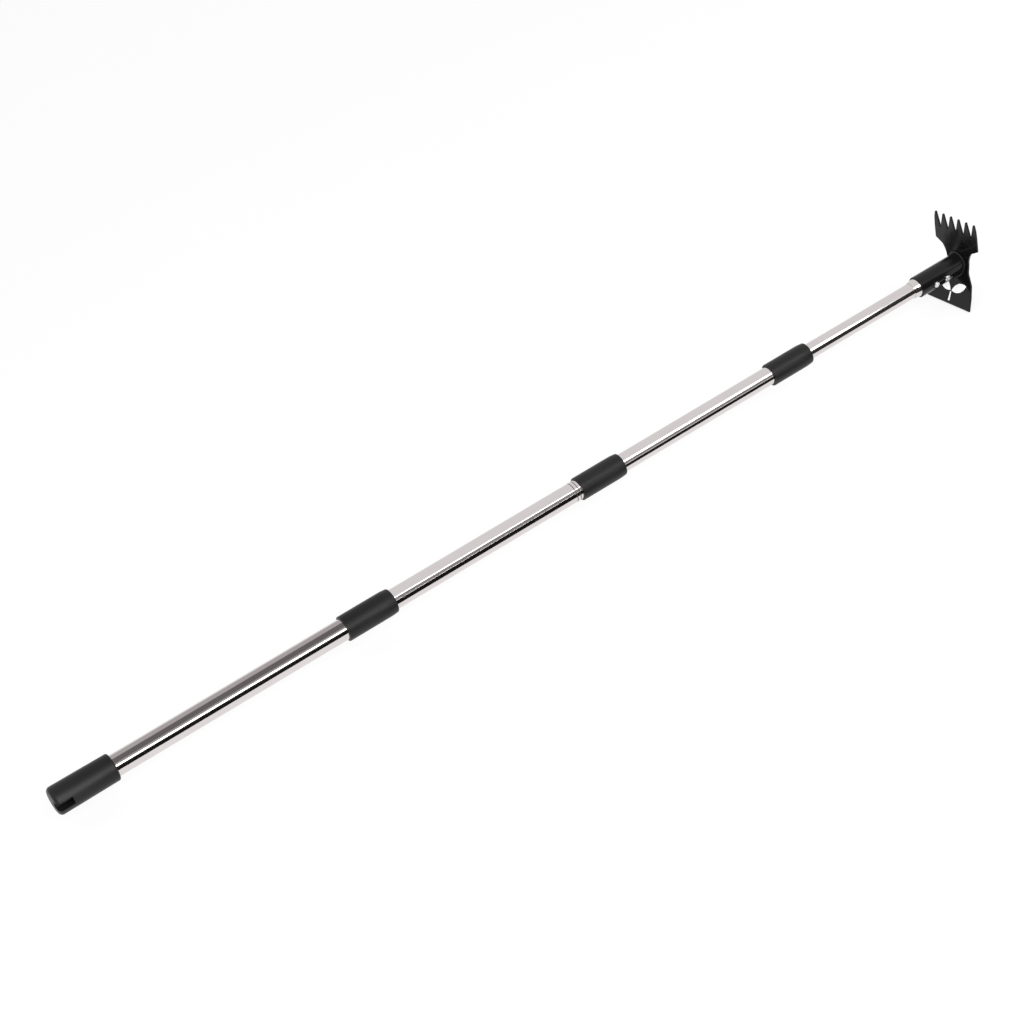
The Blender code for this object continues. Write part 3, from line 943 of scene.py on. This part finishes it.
class FixingScrews(bpy.types.Operator):
    """Two pan-head screws with crossed slots in the side of the socket"""

    bl_idname = "hoe_rake.fixing_screws"
    bl_label = "Fixing Screws"

    def execute(self, context):
        _, head = sizes()
        # The head starts just inside the socket's wall, so that no gap shows under it.
        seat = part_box("socket")[1].y - 0.2 * MM
        radius, shank = head.screw_head, SHANK_RADIUS
        top, foot = seat + HEAD_HEIGHT, seat - SHANK_LENGTH
        dome = quarter_round(top, radius, HEAD_ROUNDING, 6, 1)
        obj = turned([(foot, shank), (seat, shank), (seat, radius), *dome])
        fill_ring(obj, foot, shank)
        fill_ring(obj, *dome[-1])
        close_up(obj)
        half, reach = RECESS_HALF_WIDTH, RECESS_REACH
        floor, over = top - RECESS_DEPTH, top + RECESS_DEPTH
        for tool in (
            block((floor, -half, -reach), (over, half, reach)),
            block((floor, -reach, -half), (over, reach, half)),
        ):
            cut_away(obj, tool)
        break_edges(obj, 0.08 * MM, 2, 50.0)
        upright = Matrix.Rotation(-math.pi / 2, 4, "Y")
        outwards = Matrix.Rotation(head.screw_angle - math.pi / 2, 4, "X") @ upright
        for number in (1, 2):
            node = "fixing_screw_%d" % number
            low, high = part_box(node)
            screw = obj.copy()
            screw.data = obj.data.copy()
            context.scene.collection.objects.link(screw)
            # Each was driven home at its own turn.
            driven = Matrix.Rotation(math.radians(25 * number), 4, "X")
            place_in_mesh(screw, Matrix.Translation(((low.x + high.x) / 2, 0, 0)) @ outwards @ driven)
            finish_piece(screw, "pan_head_screw_%d" % number, zinc(), "stage_4", "zinc_steel", node)
        bpy.data.objects.remove(obj)
        return {"FINISHED"}


# The cards that each tube mirrors, by the fittings at its two ends: the angles round the pole, from +Y
# towards +Z, between which each card shows, and its shade.
MIRRORED = {
    ("end_grip", "collar_1"): (
        (22, 77, "#C1BEBE"),
        (77, 129, "#737071"),
        (129, 148, "#AAA7A8"),
        (161, 202, "#181616"),
    ),
    ("collar_1", "collar_2"): ((138, 171, "#878585"), (171, 213, "#1A1818")),
    ("collar_2", "collar_3"): ((148, 176, "#878585"), (180, 213, "#1E1C1C")),
    ("collar_3", "socket"): ((155, 209, "#343232"),),
}
SOCKET_CARD = (30, 172, "#1C1C1C")
# How far off the pole the cards above it are held.
CARD_REACH = 0.6
CARD_OVERLAP = 0.025
FLOOR_RADIUS = 12.0
SOFTBOX_PLACE = (0.62, -2.549, 1.384)
SOFTBOX_SIZE = (4.05, 2.17)
SOFTBOX_TILT = math.radians(61.5)
# Two dark strips on the table behind the pole, mirrored slantwise in the rake.
FLOOR_STRIPS_MM = (
    ((1235, 60), (1085, 190), (1085, 170), (1235, 40)),
    ((1235, 37), (1085, 165), (1085, 130), (1235, 2)),
)


class Studio(bpy.types.Operator):
    """Pale floor, soft light, the cards that the steel mirrors, and the camera"""

    bl_idname = "hoe_rake.studio"
    bl_label = "Studio"

    def execute(self, context):
        scene = context.scene
        studio = scene.hoe_rake_studio
        self.floor()
        self.room(scene, studio)
        for (behind, ahead), cards in MIRRORED.items():
            # From inside one fitting to inside the next, so that no card's end shows on a tube.
            start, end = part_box(behind)[1].x - CARD_OVERLAP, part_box(ahead)[0].x + CARD_OVERLAP
            for number, card in enumerate(cards, 1):
                self.mirrored_card(studio, "card_%d_by_%s" % (number, behind), start, end, *card)
        low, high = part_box("socket")
        start, end = low.x - CARD_OVERLAP, high.x + CARD_OVERLAP
        self.mirrored_card(studio, "card_by_socket", start, end, *SOCKET_CARD)
        for number, corners in enumerate(FLOOR_STRIPS_MM, 1):
            places = [(x * MM, y * MM, FRAME_LOW.z + 1 * MM) for x, y in corners]
            self.card("floor_strip_%d" % number, places, "#141313")
        deselect_all()
        bpy.ops.object.light_add(type="AREA", location=SOFTBOX_PLACE)
        softbox = bpy.context.object
        softbox.data.shape = "RECTANGLE"
        softbox.data.size, softbox.data.size_y = SOFTBOX_SIZE
        softbox.data.energy = studio.softbox
        softbox.rotation_euler = (SOFTBOX_TILT, 0, 0)
        softbox.visible_camera = False
        self.camera(scene, studio)
        return {"FINISHED"}

    def floor(self):
        deselect_all()
        place = (0, 0, FRAME_LOW.z)
        bpy.ops.mesh.primitive_circle_add(vertices=64, radius=FLOOR_RADIUS, fill_type="NGON", location=place)
        obj = bpy.context.object
        place_in_mesh(obj)
        obj.name = "studio_floor"
        obj.data.materials.append(studio_floor())

    def room(self, scene, studio):
        scene.world = bpy.data.worlds.new("white_room")
        scene.world.use_nodes = True
        walls = scene.world.node_tree.nodes["Background"]
        walls.inputs["Color"].default_value = (1, 1, 1, 1)
        walls.inputs["Strength"].default_value = studio.sky
        scene.view_settings.view_transform = "Standard"

    def mirrored_card(self, studio, name, start, end, first, last, hex_colour):
        """A card that the camera sees mirrored along a stretch of the pole, between two angles round it."""
        eye = studio.camera_place
        # A card that reaches below the pole stands on the table, and the others are held off.
        reach = CARD_REACH if last <= 180 else -FRAME_LOW.z / math.sin(math.radians(last - 180))
        corners = []
        for x, turn in ((start, first), (end, first), (end, last), (start, last)):
            along = (x - eye[0]) / math.hypot(eye[1], eye[2])
            turn = math.radians(turn)
            corners.append((x + reach * along, reach * math.cos(turn), reach * math.sin(turn)))
        self.card(name, corners, hex_colour)

    def card(self, name, corners, hex_colour):
        """A thin card that shows in glossy surfaces only, and neither lights anything nor casts a shadow."""
        mesh = bpy.data.meshes.new(name)
        mesh.from_pydata(corners, [], [(0, 1, 2, 3)])
        obj = bpy.data.objects.new(name, mesh)
        bpy.context.scene.collection.objects.link(obj)
        material, shader = new_material(name, (0, 0, 0), 0.0, 1.0)
        shader.inputs["Specular IOR Level"].default_value = 0.0
        shader.inputs["Emission Color"].default_value = (*linear(hex_colour), 1.0)
        shader.inputs["Emission Strength"].default_value = 1.0
        mesh.materials.append(material)
        obj.visible_camera = False
        obj.visible_diffuse = False
        obj.visible_shadow = False

    def camera(self, scene, studio):
        data = bpy.data.cameras.new("studio_camera")
        data.lens = studio.lens
        data.sensor_width = 36.0
        camera = bpy.data.objects.new("studio_camera", data)
        scene.collection.objects.link(camera)
        camera.location = studio.camera_place
        camera.rotation_euler = studio.camera_turn
        scene.camera = camera


BUILD_ORDER = (
    EndGrip,
    Tubes,
    Collars,
    TwistLocks,
    HeadPlate,
    SproutMark,
    Socket,
    WeldBead,
    FixingScrews,
    Studio,
)


class HoeRakePanel(bpy.types.Panel):
    """Lists the pieces in the order they are built"""

    bl_idname = "VIEW3D_PT_hoe_rake"
    bl_label = "Hoe and Rake"
    bl_space_type = "VIEW_3D"
    bl_region_type = "UI"
    bl_category = "Hoe and Rake"

    def draw(self, context):
        for operator in BUILD_ORDER:
            self.layout.operator(operator.bl_idname)


GROUPS = {
    "hoe_rake_pole": PoleSizes,
    "hoe_rake_head": HeadSizes,
    "hoe_rake_finishes": Finishes,
    "hoe_rake_studio": StudioSizes,
}


def register():
    for cls in (*GROUPS.values(), *BUILD_ORDER, HoeRakePanel):
        bpy.utils.register_class(cls)
    for name, group in GROUPS.items():
        setattr(bpy.types.Scene, name, bpy.props.PointerProperty(type=group))


def unregister():
    for name in GROUPS:
        delattr(bpy.types.Scene, name)
    for cls in reversed((*GROUPS.values(), *BUILD_ORDER, HoeRakePanel)):
        bpy.utils.unregister_class(cls)


def main():
    register()
    bpy.ops.hoe_rake.end_grip()
    bpy.ops.hoe_rake.tubes()
    bpy.ops.hoe_rake.collars()
    bpy.ops.hoe_rake.twist_locks()
    bpy.ops.hoe_rake.head_plate()
    bpy.ops.hoe_rake.sprout_mark()
    bpy.ops.hoe_rake.socket()
    bpy.ops.hoe_rake.weld_bead()
    bpy.ops.hoe_rake.fixing_screws()
    bpy.ops.hoe_rake.studio()


if __name__ == "__main__":
    main()
